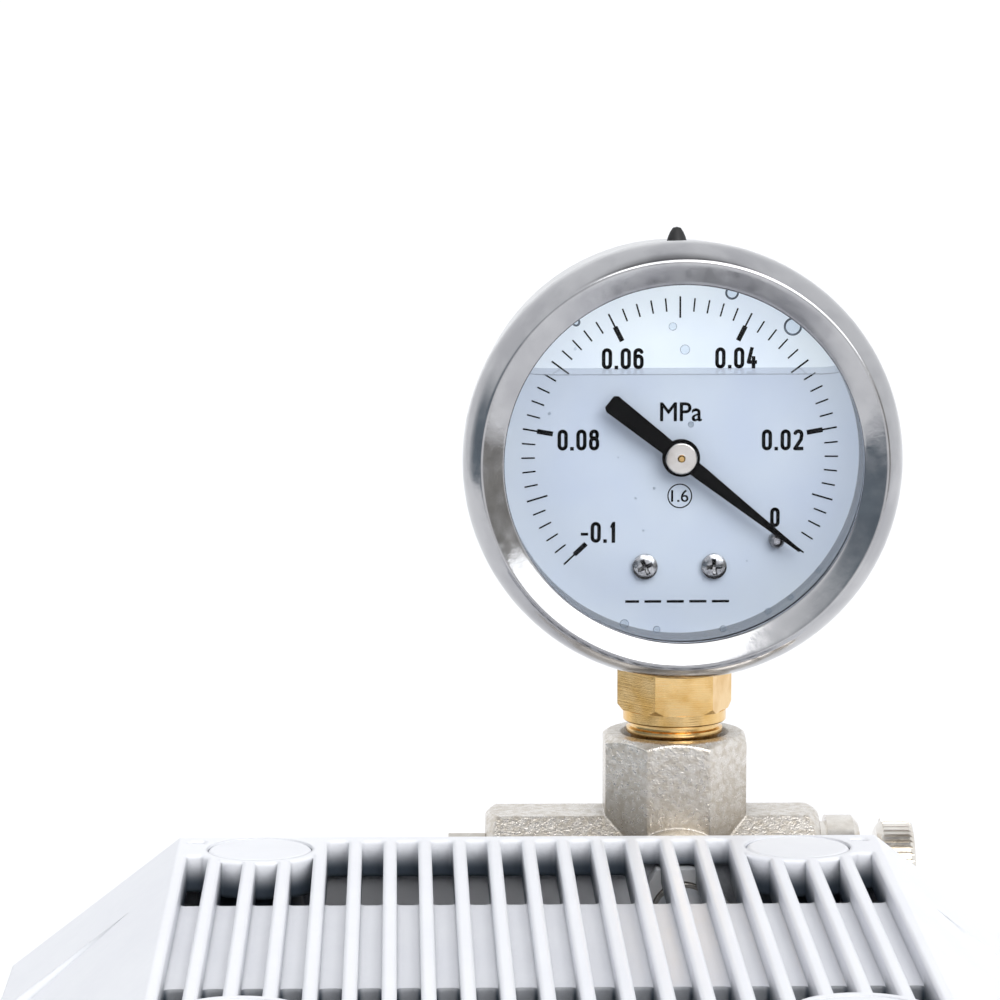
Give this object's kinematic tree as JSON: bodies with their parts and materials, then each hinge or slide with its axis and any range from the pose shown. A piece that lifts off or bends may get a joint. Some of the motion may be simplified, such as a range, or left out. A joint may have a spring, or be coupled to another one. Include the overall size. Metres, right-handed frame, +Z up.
{
  "type": "diaphragm vacuum pump",
  "caption": "Desktop diaphragm vacuum pump: slatted white housing, dial vacuum gauge on a cross fitting behind it, knurled regulating valve, motor, crank and diaphragm head inside.",
  "frame": {"origin": "centre of the bounding box, on the plane the rubber feet stand on", "axes": "+Z up, the dial faces -Y, +Y towards the gauge and hose side, +X towards the regulating valve"},
  "size_m": [0.16, 0.1593, 0.265],
  "materials": {
    "white_plastic": "moulded, fine satin texture",
    "steel_sheet": "zinc-plated sheet",
    "black_rubber": "moulded rubber",
    "screw_steel": "zinc plated",
    "black_plastic": "moulded",
    "rocker_black": "gloss moulded",
    "lamp_green": "translucent lens",
    "nickel": "nickel plate over rough cast brass",
    "stainless": "polished stainless",
    "clear_glass": "clear",
    "dial_white": "printed enamel",
    "needle_black": "matte black",
    "brass": "machined",
    "cast_aluminium": "die cast",
    "laminations": "stacked sheet",
    "copper_wire": "enamelled wire",
    "tube_white": "silicone",
    "nut_white": "nylon"
  },
  "bodies": {
    "root": {"base_plate": "steel_sheet", "base_screws": "screw_steel", "bourdon_tube": "brass", "cover_plugs": "white_plastic", "cover_screws": "screw_steel", "crankcase": "cast_aluminium", "cross_fitting": "nickel", "dial_screws": "screw_steel", "diaphragm": "black_rubber", "fill_plug": "black_rubber", "front_bell": "cast_aluminium", "gauge_bezel": "stainless", "gauge_case": "stainless", "gauge_dial": "dial_white", "gauge_gasket": "black_rubber", "gauge_glass": "clear_glass", "gauge_socket": "brass", "head_elbows": "nut_white", "head_screws": "screw_steel", "indicator_lamp": "lamp_green", "inlet_barb": "nickel", "inlet_pins": "brass", "isolators": "black_rubber", "lower_housing": "white_plastic", "motor_bearings": "screw_steel", "motor_bolts": "screw_steel", "motor_cradle": "steel_sheet", "motor_stator": "laminations", "motor_windings": "copper_wire", "movement_frame": "brass", "nipple_nuts": "nut_white", "outlet_nipple": "nickel", "outlet_tube": "tube_white", "power_inlet": "black_plastic", "pump_head": "cast_aluminium", "rear_bell": "cast_aluminium", "reed_valves": "screw_steel", "rubber_feet": "black_rubber", "stop_pin": "screw_steel", "suction_nipple": "nickel", "suction_tube": "tube_white", "switch_body": "black_plastic", "top_cover": "white_plastic", "valve_body": "nickel", "valve_plate": "cast_aluminium"},
    "crank": {"rotor_shaft": "screw_steel", "rotor": "laminations", "cooling_fan": "black_plastic", "eccentric": "screw_steel"},
    "rod": {"connecting_rod": "cast_aluminium", "rod_bearing": "screw_steel", "diaphragm_clamp": "screw_steel"},
    "pointer": {"needle": "needle_black", "needle_cap": "nickel", "pinion_shaft": "brass"},
    "sector": {"sector_gear": "brass"},
    "link": {"tip_link": "brass"},
    "valve_spindle": {"valve_needle": "nickel"},
    "knob": {"valve_knob": "nickel"},
    "rocker": {"switch_rocker": "rocker_black"}
  },
  "joints": [
    {"name": "motor_spin", "type": "hinge", "parent": "root", "child": "crank", "pos_m": [0, -0.01305, 0.064], "axis": [1, 0, 0], "continuous": true, "deforming": ["diaphragm"]},
    {"name": "rod_swing", "type": "hinge", "parent": "crank", "child": "rod", "pos_m": [0.024, -0.01305, 0.067], "axis": [1, 0, 0], "continuous": true},
    {"name": "needle_turn", "type": "hinge", "parent": "root", "child": "pointer", "pos_m": [0.02399, 0.05415, 0.2301], "axis": [0.007, -1, 0], "range_deg": [0, 261.5], "stiffness_Nm_per_rad": 0.0002, "deforming": ["bourdon_tube"]},
    {"name": "sector_turn", "type": "hinge", "parent": "root", "child": "sector", "pos_m": [0.02392, 0.06435, 0.2121], "axis": [0.007, -1, 0], "range_deg": [-32.7, 0]},
    {"name": "link_swing", "type": "hinge", "parent": "sector", "child": "link", "pos_m": [0.01849, 0.06311, 0.20957], "axis": [0.007, -1, 0], "range_deg": [0, 32.7]},
    {"name": "valve_lift", "type": "slide", "parent": "root", "child": "valve_spindle", "axis": [1, 0, 0], "range_m": [-0.00161, 0.00241]},
    {"name": "valve_turn", "type": "hinge", "parent": "valve_spindle", "child": "knob", "pos_m": [0.0589, 0.06695, 0.1607], "axis": [1, 0, 0], "range_deg": [-720, 1080]},
    {"name": "rocker_tilt", "type": "hinge", "parent": "root", "child": "rocker", "pos_m": [-0.012, -0.07525, 0.078], "axis": [1, 0, 0], "range_deg": [0, 18]}
  ],
  "couplings": [
    {"joint": "rod_swing", "follows": "motor_spin", "ratio": -1},
    {"joint": "sector_turn", "follows": "needle_turn", "ratio": -0.125},
    {"joint": "link_swing", "follows": "needle_turn", "ratio": 0.125},
    {"joint": "valve_lift", "follows": "valve_turn", "m_per_rad": 0.00012732}
  ]
}
